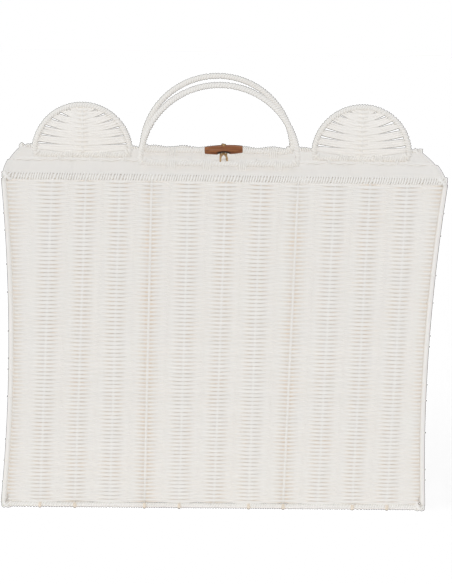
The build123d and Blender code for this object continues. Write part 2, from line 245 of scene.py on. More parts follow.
def strand_faces(strands, points, sides, closed, first):
    """Quads round every strand, and a cap at each end of an open one."""
    spans = points if closed else points - 1
    m = np.arange(strands)[:, None, None] * points * sides
    n = np.arange(spans)[None, :, None]
    k = np.arange(sides)[None, None, :]
    after = (n + 1) % points
    turn = (k + 1) % sides
    corners = (m + n * sides + k, m + n * sides + turn,
               m + after * sides + turn, m + after * sides + k)
    quads = np.stack(np.broadcast_arrays(*corners), axis=-1).reshape(-1, 4) + first
    faces = quads.tolist()
    if not closed:
        for strand in range(strands):
            start = first + strand * points * sides
            end = start + (points - 1) * sides
            faces.append([start + i for i in reversed(range(sides))])
            faces.append([end + i for i in range(sides)])
    return faces


def place(obj, body, nodes=()):
    """Links a new piece, hangs it on its body's empty, and hides the CAD nodes that it stands for.
    """
    scene.collection.objects.link(obj)
    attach(obj, body)
    if nodes:
        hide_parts(*nodes)


# ---- materials
def node_maker(tree):
    """A function that adds nodes to a tree, with links or values for their inputs."""
    def node(kind, inputs=None, **settings):
        made = tree.nodes.new(kind)
        for key, value in settings.items():
            setattr(made, key, value)
        for key, value in (inputs or {}).items():
            if isinstance(value, bpy.types.NodeSocket):
                tree.links.new(value, made.inputs[key])
            else:
                made.inputs[key].default_value = value
        return made
    return node


def new_material(name, roughness):
    """A material, its Principled shader, its functions that add nodes and links, and the
    object's own coordinates."""
    material = bpy.data.materials.new(name)
    material.use_nodes = True
    tree = material.node_tree
    shader = tree.nodes["Principled BSDF"]
    shader.inputs["Roughness"].default_value = roughness
    shader.inputs["Specular IOR Level"].default_value = 0.3
    node = node_maker(tree)
    return material, shader, node, tree.links.new, node("ShaderNodeTexCoord").outputs["Object"]


def mix_colour(node, factor, first, second):
    """A colour mix node's result."""
    return node("ShaderNodeMix", {0: factor, 6: first, 7: second}, data_type="RGBA").outputs[2]


def noise(node, where, scale, detail=3.0, stretch=None):
    """A noise pattern over the object's own coordinates, stretched if asked, from 0 to 1."""
    if stretch:
        where = vector(node, "MULTIPLY", where, stretch)
    made = node("ShaderNodeTexNoise", {"Vector": where, "Scale": scale, "Detail": detail})
    return made.outputs["Fac"]


def vector(node, operation, first, second):
    """The result of a vector sum of two inputs."""
    return node("ShaderNodeVectorMath", {0: first, 1: second}, operation=operation).outputs[0]


def product(node, first, second):
    """Two values multiplied."""
    return node("ShaderNodeMath", {0: first, 1: second}, operation="MULTIPLY").outputs[0]


def ramp(node, value, low, high):
    """A value mapped from low..high to 0..1, with both ends held."""
    return node("ShaderNodeMapRange", {0: value, 1: low, 2: high, 3: 0.0, 4: 1.0}).outputs[0]


def finish_surface(node, link, shader, rough_by, rough, height, strength, distance):
    """Roughness between two values by one pattern, and a bump by another."""
    low, high = rough
    link(node("ShaderNodeMapRange", {0: rough_by, 3: low, 4: high}).outputs[0],
         shader.inputs["Roughness"])
    bump = node("ShaderNodeBump", {"Strength": strength, "Distance": distance, "Height": height})
    link(bump.outputs[0], shader.inputs["Normal"])


def shaded(colour, share):
    """A colour at a share of its brightness."""
    return tuple(share * c for c in colour[:3]) + (1,)


def painted_reed(name, white, wear_and_shade, deep, shallow):
    """Brushed white paint on round reed. It is thin in the crevices, where the cane shows in
    colours from deep to shallow; on the wrappings these colours are painted shade between the
    strands."""
    material, shader, node, link, where = new_material(name, 0.52)
    bare = node("ShaderNodeAttribute", attribute_name="bare").outputs["Fac"]
    tone = node("ShaderNodeAttribute", attribute_name="tone").outputs["Fac"]
    patch = noise(node, where, 34.0, 4.0)
    speck = noise(node, where, 420.0, 2.0)
    bare_and_shade_mask = product(node, bare, ramp(node, patch, 0.25, 0.75))
    bare_and_shade_mask = product(node, bare_and_shade_mask, ramp(node, speck, 0.2, 0.6))
    # The crevice colour: bare cane on the weavers, painted shade on the wrappings.
    tan = mix_colour(node, speck, deep, shallow)
    strand = mix_colour(node, ramp(node, tone, -1.0, 1.0), white, shaded(white, 0.955))
    cloudy = ramp(node, noise(node, where, 9.0), 0.3, 0.7)
    paint = mix_colour(node, cloudy, strand, shaded(white, 0.975))
    amount = product(node, bare_and_shade_mask, wear_and_shade)
    link(mix_colour(node, amount, paint, tan), shader.inputs["Base Color"])
    grain = noise(node, where, 1500.0, 2.0)
    finish_surface(node, link, shader, patch, (0.42, 0.66), grain, 0.25, 0.2 * MM)
    return material


def wood_material():
    """Oiled reddish brown wood with grain along the barrel, and painted shadow under its middle,
    in the notch where the twine comes out."""
    light, red, streaked = (0.38, 0.155, 0.055, 1), (0.27, 0.095, 0.030, 1), (0.18, 0.055, 0.019, 1)
    pored, notch_shadow = (0.09, 0.026, 0.012, 1), (0.03, 0.017, 0.011, 1)
    material, shader, node, link, where = new_material("toggle_wood", 0.38)
    fibre = noise(node, where, 900.0, 5.0, (0.08, 1.0, 1.0))
    band = noise(node, where, 260.0, 2.0, (0.12, 1.0, 1.0))
    pores = noise(node, where, 2600.0, 1.0, (0.06, 1.0, 1.0))
    colour = mix_colour(node, ramp(node, band, 0.3, 0.7), red, light)
    colour = mix_colour(node, ramp(node, fibre, 0.35, 0.7), colour, streaked)
    colour = mix_colour(node, ramp(node, pores, 0.62, 0.72), colour, pored)
    # Painted shadow in the notch under the barrel's middle, darkest at its centre.
    low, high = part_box("toggle")
    middle = ((low.x + high.x) / 2, 0.0, low.z + 2.4 * MM)
    half_width, half_height = 8.5 * MM, 2.6 * MM
    away = vector(node, "SUBTRACT", where, middle)
    away = vector(node, "MULTIPLY", away, (1 / half_width, 0.0, 1 / half_height))
    away = node("ShaderNodeVectorMath", {0: away}, operation="LENGTH").outputs["Value"]
    colour = mix_colour(node, ramp(node, away, 1.0, 0.7), colour, notch_shadow)
    link(colour, shader.inputs["Base Color"])
    finish_surface(node, link, shader, fibre, (0.3, 0.5), fibre, 0.3, 0.2 * MM)
    return material


def twine_material():
    """Natural tan twine, fuzzy and uneven."""
    light, tan, dark = (0.66, 0.47, 0.27, 1), (0.52, 0.33, 0.16, 1), (0.36, 0.22, 0.10, 1)
    material, shader, node, link, where = new_material("natural_twine", 0.85)
    fibre = noise(node, where, 2200.0, 4.0)
    blotch = noise(node, where, 300.0, 2.0)
    colour = mix_colour(node, ramp(node, blotch, 0.3, 0.7), tan, light)
    colour = mix_colour(node, ramp(node, fibre, 0.4, 0.8), colour, dark)
    link(colour, shader.inputs["Base Color"])
    finish_surface(node, link, shader, fibre, (0.75, 0.95), fibre, 0.6, 0.3 * MM)
    return material


def raw_cane():
    """Cut ends of cane where no paint reached."""
    tan, pale = (0.76, 0.63, 0.50, 1), (0.92, 0.86, 0.77, 1)
    material, shader, node, link, where = new_material("raw_cane", 0.7)
    fibre = noise(node, where, 1800.0, 3.0)
    link(mix_colour(node, fibre, tan, pale), shader.inputs["Base Color"])
    finish_surface(node, link, shader, fibre, (0.6, 0.85), fibre, 0.4, 0.2 * MM)
    return material


TAN = ((0.84, 0.69, 0.54, 1), (0.91, 0.80, 0.68, 1))        # bare cane, deep and shallow
SLIT_SHADE = ((0.42, 0.38, 0.34, 1), (0.66, 0.60, 0.53, 1))       # painted shade between a wrapping's strands, deep and shallow
WEAVE = painted_reed("painted_weave", (0.905, 0.888, 0.862, 1), 0.95, *TAN)
# A whiter copy of the weave with less bare cane: painted light for the light that shines through
# the thin ears.
LIT_EAR = painted_reed("painted_ear_weave", (0.97, 0.955, 0.932, 1), 0.5, *TAN)
CANE = painted_reed("painted_cane", (0.91, 0.892, 0.865, 1), 0.6, *TAN)
WRAP = painted_reed("painted_wrapping", (0.935, 0.922, 0.898, 1), 0.85, *SLIT_SHADE)
WOOD = wood_material()
TWINE = twine_material()
RAW = raw_cane()


# ---- one half's measures
class Half:
    """The places that a half's strands follow, read from its CAD nodes. s is the side of the
    seam that it is on, -1 for the front and 1 for the back."""

    def __init__(self, name, sign):
        self.name = name
        self.s = sign
        self.body = f"{name}_half"
        low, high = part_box(f"{name}_right_corner_post")
        self.post_r = (high.y - low.y) / 2
        self.post_y = (high.y + low.y) / 2
        self.edge_x = high.x - self.post_r
        self.sag = high.x - low.x - 2 * self.post_r
        self.mid_z = (low.z + high.z) / 2
        self.half_z = (high.z - low.z) / 2
        self.low_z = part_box(f"{name}_bottom_edge_wrap")[1].z
        self.high_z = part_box(f"{name}_top_edge_wrap")[0].z
        low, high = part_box(f"{name}_side_edge_rods")
        self.side_low = low.z + 2 * self.post_r
        self.side_high = high.z - 2 * self.post_r
        self.depth_rods = (low.z + self.post_r, high.z - self.post_r)
        low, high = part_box(f"{name}_rim_top")
        self.rim_y = (low.y + high.y) / 2
        self.rim_r = (high.y - low.y) / 2
        self.rim_edge = abs(self.rim_y) + self.rim_r

    def post_x(self, z):
        """Distance of a corner post's centre from the middle of the case."""
        return self.edge_x - self.sag * np.clip(1 - ((z - self.mid_z) / self.half_z) ** 2, 0, 1)

    def stakes_x(self, z):
        """The face stakes' places at a height, the left ones leaning inwards towards the top."""
        k = np.arange(STAKE_COUNT)
        lean = STAKE_FAN * np.clip(1 - k / 3.0, 0, 1)
        sway = STAKE_SWAY * np.sin(2.1 * k + 0.6 + 9.0 * self.s)
        up = (np.asarray(z)[..., None] - self.low_z) / (self.high_z - self.low_z)
        return (k - STAKE_COUNT // 2) * STAKE_PITCH + lean * up + sway * up * (1 - 0.4 * up)


HALVES = [Half("front", -1), Half("back", 1)]


def between(values, shares):
    """Values at shares of the way from each node to the next, and the last node's."""
    steps = values[:, :-1, None] + (values[:, 1:] - values[:, :-1])[..., None] * shares
    return np.concatenate([steps.reshape(len(values), -1), values[:, -1:]], axis=1)


def bays(nodes):
    """Places between neighbouring nodes at the bay steps, and the last node. nodes is (rows, n)."""
    return between(nodes, np.array(BAY_STEPS))


def rises(at, nodes, signs):
    """How far each weaver stands out, -1 to 1: bent sharply round each stake, easing between."""
    eased = between(signs, 0.5 - 0.5 * np.cos(math.pi * np.array(BAY_STEPS)))
    d = (at[:, :, None] - nodes[:, None, :]) / BEND_WIDTH
    bent = (np.exp(-d * d) * signs[:, None, :]).sum(-1)
    return np.clip(BEND_SHARE * bent + (1 - BEND_SHARE) * eased, -1, 1)


def joined(left, middle, right):
    """Points, normals and rises of strands in three stretches, as one. The left stretch is
    given from the middle outwards."""
    return [np.concatenate([a[:, ::-1], b, c], 1) for a, b, c in zip(left, middle, right)]


def spread(rise, fullness=1.0):
    """Half a weaver's width along the wall: wider where it stands out over a stake."""
    return REED_SIDE + FLOAT_SPREAD * fullness * np.abs(rise) ** 0.7


def row_signs(rows, first_row, count, ends):
    """Which side of each stake a row passes: alternate in a row and from row to row. ends is
    how strongly it also alternates at the two corners."""
    k = np.arange(-1, count + 1)[None, :]
    parity = (np.arange(rows)[:, None] + first_row + k) % 2
    signs = np.where(parity == 0, 1.0, -1.0)
    signs[:, [0, -1]] *= ends
    return signs


# ---- woven walls
def shell_rows(h, bundle, heights, first_row, with_sides):
    """Weavers of the face that turn behind both corner canes, and run on along the sides."""
    rows = len(heights)
    turn_x = h.post_x(heights) + h.post_r - POST_R - POST_INSET
    stakes_at = h.stakes_x(heights)
    nodes = np.concatenate([-turn_x[:, None], stakes_at, turn_x[:, None]], axis=1)
    xs = bays(nodes)
    rise = rises(xs, nodes, row_signs(rows, first_row, STAKE_COUNT, CORNER_SIGN))
    zs = heights[:, None] + ROW_WANDER * ripple(xs, heights[:, None], 11 + h.s)
    face = xyz(xs, h.post_y + h.s * FLOAT_RISE * rise, zs)
    stretch = (face, np.broadcast_to([0.0, h.s, 0.0], face.shape), rise)
    if with_sides:
        left = side_run(h, -1, turn_x, heights, zs[:, 0], first_row)
        right = side_run(h, 1, turn_x, heights, zs[:, -1], first_row)
        stretch = joined(left, stretch, right)
    line, ups, out = stretch
    thick = 1 + REED_VARIES * bundle.rng.uniform(-1, 1, (rows, 1))
    uneven = 1 + UNEVEN * (-1.0) ** (np.arange(rows)[:, None] + first_row)
    place_x = np.arange(out.shape[1])[None, :] * 6 * MM
    fullness = 1.0 - SPREAD_VARIES * (1 + ripple(place_x, heights[:, None], 31 + h.s))
    fullness = fullness + SPREAD_VARIES * bundle.rng.uniform(-1, 1, (rows, 1))
    for k in OPEN_STAKES:
        near = (line[..., 0] - stakes_at[:, k:k + 1]) / OPEN_WIDTH
        fullness = fullness - OPEN_AMOUNT * np.exp(-near * near)
    corner = np.clip(1 - np.abs(np.abs(line[..., 0]) - turn_x[:, None]) / CORNER_REACH, 0, 1)
    in_front = np.abs(line[..., 1]) > abs(h.post_y) - CORNER_DEPTH
    fullness = fullness - CORNER_TIGHT * corner * in_front
    bundle.add(line, ups, REED_R * thick * uneven * (1 - FLATTEN * np.abs(out)),
               spread(out, fullness) * uneven, out)


def side_run(h, side, turn_x, heights, zs, first_row):
    """The stretch of each weaver along a side wall, from the corner turn to the rim."""
    rows = len(heights)
    first = abs(h.post_y) + h.post_r - POST_R - POST_INSET
    depths = np.array([first, SIDE_STAKES[1], SIDE_STAKES[0], h.rim_edge - 2 * MM])
    nodes = np.broadcast_to(depths, (rows, 4))
    ys = bays(nodes)
    signs = row_signs(rows, first_row + (0 if side < 0 else 12), 2, 0.5)
    signs[:, 3] = -0.3          # tucked in behind the rim
    rise = rises(ys, nodes, signs)
    blend = np.linspace(0, 1, ys.shape[1])
    wander = 0.6 * MM * ripple(ys, heights[:, None], 23 + h.s + side) * blend
    z = zs[:, None] * (1 - blend) + heights[:, None] * blend + wander
    wall_x = turn_x + POST_INSET * 0.8
    x = side * (wall_x[:, None] + FLOAT_RISE * rise)
    points = xyz(x, h.s * ys, z)
    normals = np.broadcast_to([float(side), 0.0, 0.0], points.shape).copy()
    normals[:, 0] = unit(np.array([[float(side), h.s, 0.0]]))
    return points, normals, rise


def shell_weave(h):
    """The woven face and sides of a half, in a lower and an upper piece."""
    count = int((h.high_z - h.low_z) / ROW_PITCH)
    heights = h.low_z + (h.high_z - h.low_z) * (np.arange(count) + 0.5) / count
    middle = count // 2
    sides = (heights > h.side_low + REED_R) & (heights < h.side_high - REED_R)
    layers = (("lower", 0, middle, ("face_weave", "left_weave")),
              ("upper", middle, count, ("right_weave",)))
    for label, start, end, nodes in layers:
        bundle = Bundle(100 + start + h.s)
        for full in (True, False):
            pick = np.where(sides[start:end] == full)[0] + start
            for run in np.split(pick, np.where(np.diff(pick) != 1)[0] + 1):
                if len(run):
                    shell_rows(h, bundle, heights[run], run[0], full)
        bundle.build(f"{h.name}_shell_weave_{label}", h.body, WEAVE,
                     [f"{h.name}_{n}" for n in nodes])


def flat_weave(h, node, outward, rod_z):
    """The woven top or bottom wall of a half: weavers across it, turned round the side rods."""
    low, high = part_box(f"{h.name}_{node}")
    mid_z = (low.z + high.z) / 2
    rows = int((high.y - low.y) / ROW_PITCH)
    ys = low.y + (high.y - low.y) * (np.arange(rows) + 0.5) / rows
    z_at = h.high_z if outward > 0 else h.low_z
    ends = np.full((rows, 1), h.edge_x)
    stakes_at = np.broadcast_to(h.stakes_x(np.array(z_at)), (rows, STAKE_COUNT))
    nodes = np.concatenate([-ends, stakes_at, ends], axis=1)
    xs = bays(nodes)
    rise = rises(xs, nodes, row_signs(rows, 0, STAKE_COUNT, 0.3))
    y = ys[:, None] + 0.5 * MM * ripple(xs, ys[:, None], 37 + h.s)
    z = mid_z + outward * (FLOAT_RISE * rise + 0.4 * MM * ripple(xs, ys[:, None], 41 + h.s))
    flat = xyz(xs, y, z)
    up = np.broadcast_to([0.0, 0.0, outward], flat.shape)
    angles = np.radians([0.0, 40.0, 80.0, 120.0, 160.0])

    def turned(side, end):
        """The stretch of each weaver round a side's rod, from the flat part onwards."""
        normal = xyz(side * np.sin(angles), 0.0, outward * np.cos(angles))
        centre = xyz(side * h.edge_x, y[:, end], rod_z)
        points = centre[:, None, :] + (CORE_R + REED_R) * normal[None]
        return points, np.broadcast_to(normal, points.shape), np.full(points.shape[:2], 0.7)

    middle = (flat[:, 1:-1], up[:, 1:-1], rise[:, 1:-1])
    line, ups, out = joined(turned(-1, 0), middle, turned(1, -1))
    bundle = Bundle(300 + h.s + int(outward))
    bundle.add(line, ups, REED_R, spread(out), out)
    bundle.build(f"{h.name}_{node}_strands", h.body, WEAVE, [f"{h.name}_{node}"])


def stakes(h):
    """All the stakes of a half, its corner canes and the rods along the side walls' edges."""
    bundle = Bundle(500 + h.s)

    def rods(lines, up, radius=STAKE_R, bare=STAKE_BARE):
        """Round rods of one thickness."""
        bundle.add(lines, up, radius, radius, bare=bare, sides=8)

    z = np.linspace(h.low_z - 2 * MM, h.high_z + 2 * MM, 12)
    rods(xyz(h.stakes_x(z).T, h.post_y, z), [0.0, h.s, 0.0])
    for node, z_at in (("top_weave", h.high_z), ("bottom_weave", h.low_z)):
        low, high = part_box(f"{h.name}_{node}")
        x = h.stakes_x(np.array(z_at))[:, None]
        rods(xyz(x, np.linspace(low.y, high.y, 4), (low.z + high.z) / 2), [0.0, 0.0, 1.0])
    z = np.linspace(h.side_low - 1 * MM, h.side_high + 1 * MM, 16)
    for side in (-1, 1):
        for depth in SIDE_STAKES:
            rods(xyz(side * h.post_x(z), h.s * depth, z)[None], [float(side), 0.0, 0.0])
    for side in (-1, 1):
        corner_cane(h, bundle, side)
        for rod_z in h.depth_rods:
            y = np.linspace(h.s * h.rim_edge, h.post_y, 4)
            rods(xyz(side * h.edge_x, y, rod_z)[None], [0.0, 0.0, 1.0], CORE_R, 0.3)
    nodes = ("stakes", "side_edge_rods", "left_corner_post", "right_corner_post")
    bundle.build(f"{h.name}_stakes_and_posts", h.body, CANE,
                 [f"{h.name}_{n}" for n in nodes])


def corner_cane(h, bundle, side):
    """The smooth cane up a corner, outside the weavers' turn, with a thin tie here and there."""
    z = np.linspace(h.low_z - 1 * MM, h.high_z + 1 * MM, 60)
    wobble = 0.25 * MM * ripple(z, 0.0, 61 + h.s + side)
    reach = h.post_r - POST_R
    x = side * (h.post_x(z) + reach + 0.8 * MM + wobble)
    y = h.post_y + h.s * (reach - 0.2 * MM - wobble)
    cane = xyz(x, y, z)
    thick = POST_R * (1 + 0.05 * ripple(z, 0.0, 67 + h.s + side))
    bundle.add(cane[None], [float(side), h.s, 0.0], thick, thick, bare=0.1, sides=10)
    a = full_circle(14)
    for k in range(2, 56, 5):
        k = k + bundle.rng.randint(0, 4)
        tilt = 0.5 * MM * bundle.rng.uniform(-1, 1)
        ring = xyz(np.cos(a), np.sin(a), 0.0) * (POST_R + 0.15 * MM)
        ring[:, 2] = tilt * np.sin(a)
        bundle.add((cane[k] + ring)[None], unit(ring)[None], 0.45 * MM, 0.6 * MM, closed=True,
                   bare=0.35)


# ---- wrapped rods
def turns_along(length, pitch, rng, extra=()):
    """Where each turn of a wrapping starts: uneven, with a gap now and then, and a smaller one
    at each place in extra."""
    varies, gap_chance, gap, extra_gap = 0.08, 0.09, 0.5, 0.3
    steps = pitch * (1 + varies * rng.uniform(-1, 1, int(length / pitch) + 1))
    steps = steps + (rng.uniform(0, 1, len(steps)) < gap_chance) * gap * pitch
    at = np.cumsum(steps)
    for place_at in extra:
        at = at + (at > place_at) * extra_gap * pitch
    at = at[at < length]
    return np.r_[0, at, length]


def helix(bundle, centre_at, length, radius, reed_r, pitch, abreast, lean, extra=()):
    """Strands wound round a path, so many abreast and leaning one way or the other. centre_at
    gives, for distances along it, the path's points and its two normals."""
    starts = turns_along(length, pitch, bundle.rng, extra)
    count = np.arange(len(starts))
    for strand in range(abreast):
        winds = (len(starts) - 1 - strand) / abreast
        t = np.linspace(0, winds, int(winds * TURN_STEPS) + 1)
        turn = strand + t * abreast
        points, normal, binormal = centre_at(np.interp(turn, count, starts))
        angle = (2 * math.pi * t)[:, None] * lean
        out = np.cos(angle) * normal + np.sin(angle) * binormal
        off = 0.07 * MM * np.sin(2.3 * turn)[:, None]
        width = pitch * (0.37 + 0.03 * np.sin(1.7 * turn))
        bundle.add((points + (radius + off) * out)[None], out[None], reed_r, width, sides=10)


def looped(points):
    """A path function for helix: a closed flat line in an XZ plane, with its length."""
    line = np.vstack([points, points[:1]])
    lengths = run_lengths(line)

    def centre_at(distance):
        at = at_distance(line, lengths, distance)
        ahead = at_distance(line, lengths, distance + 1 * MM)
        tangent = unit(ahead - at_distance(line, lengths, distance - 1 * MM))
        binormal = np.broadcast_to([0.0, 1.0, 0.0], at.shape)
        return at, np.cross(tangent, binormal), binormal
    return centre_at, lengths[-1]


def edge_wrap(h, which):
    """The reed wound round the cane along the top or bottom edge of the face."""
    node = f"{h.name}_{which}_edge_wrap"
    low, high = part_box(node)
    outer = (high.z - low.z) / 2
    reed = max((outer - CORE_R) / 2, TURN_R)
    centre = ((low.y + high.y) / 2, (low.z + high.z) / 2)
    bundle = Bundle(600 + h.s + len(which))
    stakes_at = h.stakes_x(np.array(h.high_z if which == "top" else h.low_z))
    wave = EDGE_WAVE if (h.name, which) == ("back", "top") else 0.0

    def waved(x):
        """Points along the edge, raised where a stake carries over it and lowered between."""
        turns = (x - stakes_at[0]) / (stakes_at[1] - stakes_at[0])
        return xyz(x, centre[0], centre[1] + wave * np.cos(2 * math.pi * turns))

    def path(distance):
        """A path function for helix: the edge's line, and the directions up and forwards."""
        up, forwards = np.array([0.0, 0.0, 1.0]), np.array([0.0, -1.0, 0.0])
        return waved(low.x + 1 * MM + distance), up, forwards

    length = high.x - low.x - 2 * MM
    helix(bundle, path, length, outer - reed, reed, WRAP_PITCH, 2, h.s, stakes_at - low.x)
    for side in (-1, 1):
        corner_knot(h, bundle, side, centre)
    core = waved(np.linspace(low.x + 0.5 * MM, high.x - 0.5 * MM, 90))
    # The cane inside, in painted shade where it shows between the turns.
    bundle.add(core[None], [0.0, 0.0, 1.0], CORE_R, CORE_R, bare=0.6, sides=10)
    bundle.build(f"{node}_reed", h.body, WRAP,
                 [node, f"{h.name}_{which}_edge_rod"])


def corner_knot(h, bundle, side, centre):
    """Crossed turns of reed that tie an edge rod to its corner post and side rod. None dips
    below the floor."""
    radius = 4.7 * MM
    tilts = (-58, -44, -30, 38)
    x = side * (h.edge_x + 0.5 * MM)
    middle = [x - side * 1.5 * MM, *centre]
    a = full_circle(20)
    for tilt in tilts:
        t = math.radians(tilt)
        across = np.array([math.cos(t), 0.0, math.sin(t)])
        ring = (np.outer(np.cos(a) * radius * 1.15, across)
                + np.outer(np.sin(a) * radius, [0.0, 1.0, 0.0]))
        ring = ring + middle
        ring[:, 2] = np.maximum(ring[:, 2], 1.0 * MM)
        up = unit(ring - middle)
        bundle.add(ring[None], up[None], 0.7 * MM, 0.85 * MM, closed=True)


def d_points(node):
    """The line of a closed D from the box of the cane bent to it, and the D's middle, the
    height of its bar, half its width and the rise of its arch."""
    corner = 6.0 * MM
    low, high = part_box(node)
    half = (high.x - low.x) / 2 - CORE_R
    bar = low.z + CORE_R
    rise = high.z - CORE_R - bar
    x = (low.x + high.x) / 2
    y = (low.y + high.y) / 2
    radius = (half ** 2 + rise ** 2) / (2 * rise)
    centre = (x, bar + rise - radius)
    start = math.degrees(math.asin(np.clip((bar + corner - centre[1]) / radius, -1, 1)))
    reach = radius * math.cos(math.radians(start))
    arch = arc_points(centre, radius, start, 180 - start, 90, y)
    left = arc_points((x - reach + corner, bar + corner), corner, 180, 270, 8, y)
    right = arc_points((x + reach - corner, bar + corner), corner, 270, 360, 8, y)
    points = np.vstack([arch[:-1], left, right[:-1]])
    return points, (x, y, bar, reach, rise)


def wrapped_d(node, bundle, pitch):
    """A helix of reed round a closed D, and crossed turns at the two feet of its arch. Gives
    the D's measures."""
    tilts = (35, 48, 60)
    points, measures = d_points(f"{node}_rod")
    low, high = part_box(f"{node}_wrap")
    outer = (high.y - low.y) / 2
    path, length = looped(points)
    helix(bundle, path, length, outer - TURN_R, TURN_R, pitch, 2, 1)
    x, y, bar, reach, _ = measures
    a = full_circle(18)
    for side in (-1, 1):
        middle = np.array([x + side * (reach - 2.2 * MM), y, bar + 2.2 * MM])
        for tilt in tilts:
            t = math.radians(tilt)
            across = np.array([side * math.cos(t), 0.0, -math.sin(t)])
            ring = (np.outer(np.cos(a) * 4.3 * MM, across)
                    + np.outer(np.sin(a) * 3.3 * MM, [0.0, 1.0, 0.0]))
            bundle.add((ring + middle)[None], unit(ring)[None], 0.6 * MM, 0.9 * MM, closed=True)
    return measures


def handle(h):
    """The reed wrapping of a handle."""
    bundle = Bundle(700 + h.s)
    wrapped_d(f"{h.name}_handle", bundle, HANDLE_PITCH)
    bundle.build(f"{h.name}_handle_reed", f"{h.name}_handle", WRAP,
                 [f"{h.name}_handle_wrap"])


def lashing_turns(name, body, node, centres, bar_r):
    """Turns of reed round a bar and down through the wall, for each lashing."""
    reed, turns = 0.5 * MM, 4
    low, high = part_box(node)
    outer = (high.y - low.y) / 2
    y = (low.y + high.y) / 2
    bar_z = high.z - outer
    radius = bar_r + reed
    bundle = Bundle(len(name) * 7)
    top = arc_points((0.0, bar_z), radius, 0, 180, 10, 0.0)
    base = arc_points((0.0, low.z + radius), radius, 180, 360, 10, 0.0)
    ring = np.vstack([top, base])
    ring = xyz(0.0, ring[:, 0], ring[:, 2])
    middle = np.array([0.0, 0.0, (bar_z + low.z) / 2])
    for x in centres:
        for turn in range(turns):
            shift = (turn - (turns - 1) / 2) * 2.0 * MM
            points = ring + [x + shift, y, 0.0]
            points[:, 0] += 0.8 * MM * np.sin(full_circle(20))
            # A little painted shade over the lashing's turns.
            bundle.add(points[None], unit(ring - middle)[None], reed, 0.95 * MM, closed=True,
                       bare=0.05)
    bundle.build(name, body, WRAP, [node])


def lashings():
    """The lashings that hold the handles' bars and the ears' feet to the top walls."""
    handle_at = [x * MM for x in (-54.0, -18.0, 18.0, 54.0)]
    ears_at = [x * MM for x in (-162.0, -126.0, 126.0, 162.0)]
    for h in HALVES:
        lashing_turns(f"{h.name}_handle_lashing_turns", h.body, f"{h.name}_handle_lashings",
                      handle_at, 3.15 * MM)
    lashing_turns("ear_lashing_turns", "back_half", "ear_lashings", ears_at, 3.05 * MM)


# ---- rims
def rim_points(h):
    """The middle line of the mouth's rim: a rectangle with bowed sides and rounded corners."""
    corner = 6.0 * MM
    low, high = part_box(f"{h.name}_rim_rod")
    z0 = low.z + CORE_R
    z1 = high.z - CORE_R
    base = high.x - CORE_R
    z = np.linspace(z0 + corner, z1 - corner, 60)
    x = base - h.sag * np.clip(1 - ((z - h.mid_z) / h.half_z) ** 2, 0, 1)
    y = h.rim_y
    right = xyz(x, y, z)
    left = right[::-1] * [-1, 1, 1]
    foot, edge = x[0], x[-1]
    return np.vstack([
        right,
        arc_points((edge - corner, z1 - corner), corner, 0, 90, 8, y)[1:],
        arc_points((corner - edge, z1 - corner), corner, 90, 180, 8, y)[:-1],
        left,
        arc_points((corner - foot, z0 + corner), corner, 180, 270, 8, y)[1:],
        arc_points((foot - corner, z0 + corner), corner, 270, 360, 8, y)[:-1]])


def rim(h):
    """A rolled border: six strands twisted round the mouth's cane, tied by the stakes' ends."""
    strands, twists, steps = 6, 24, 520
    reed, core = 0.98 * MM, 1.3 * MM
    centre_at, length = looped(spaced(rim_points(h), steps))
    bundle = Bundle(800 + h.s)
    distance = np.linspace(0, length, steps, endpoint=False)
    line, normal, binormal = centre_at(distance)
    a = 2 * math.pi * (np.arange(strands)[:, None] / strands + twists * distance / length)
    out = np.cos(a)[..., None] * normal + np.sin(a)[..., None] * binormal
    ring_r = h.rim_r - 1.35 * MM - reed
    bundle.add(line + ring_r * out, out, reed, 0.95 * MM, closed=True)
    # The cane inside the rim, in painted shade where it shows between the strands.
    bundle.add(line[None], normal[None], core, core, closed=True, bare=0.5, sides=8)
    top = [(x, h.mid_z + h.half_z) for x in h.stakes_x(np.array(h.high_z))]
    bottom = [(-x, h.low_z) for x in h.stakes_x(np.array(h.low_z))]
    sides = [(side * h.edge_x, z) for z in np.arange(0.05, 0.33, 0.036) for side in (-1, 1)]
    for x, z in top + bottom + sides:
        nearest = np.argmin((line[:, 0] - x) ** 2 + (line[:, 2] - z) ** 2)
        rim_tie(bundle, line, normal, binormal, nearest, h.rim_r)
    nodes = [f"{h.name}_rim_{n}" for n in ("rod", "top", "bottom", "left", "right")]
    bundle.build(f"{h.name}_rim_border", h.body, WRAP, nodes)


def rim_tie(bundle, line, normal, binormal, i, rim_r):
    """Two turns of a stake's end round the rim."""
    reed = 0.62 * MM
    tangent = unit(np.cross(binormal[i], normal[i]))
    a = full_circle(14)[:, None]
    out = np.cos(a) * normal[i] + np.sin(a) * binormal[i]
    for shift in (-0.8 * MM, 0.8 * MM):
        slant = 0.7 * MM * np.sin(a + 0.6)
        ring = line[i] + tangent * (shift + slant) + (rim_r - reed) * out
        bundle.add(ring[None], out[None], reed, 0.8 * MM, closed=True)


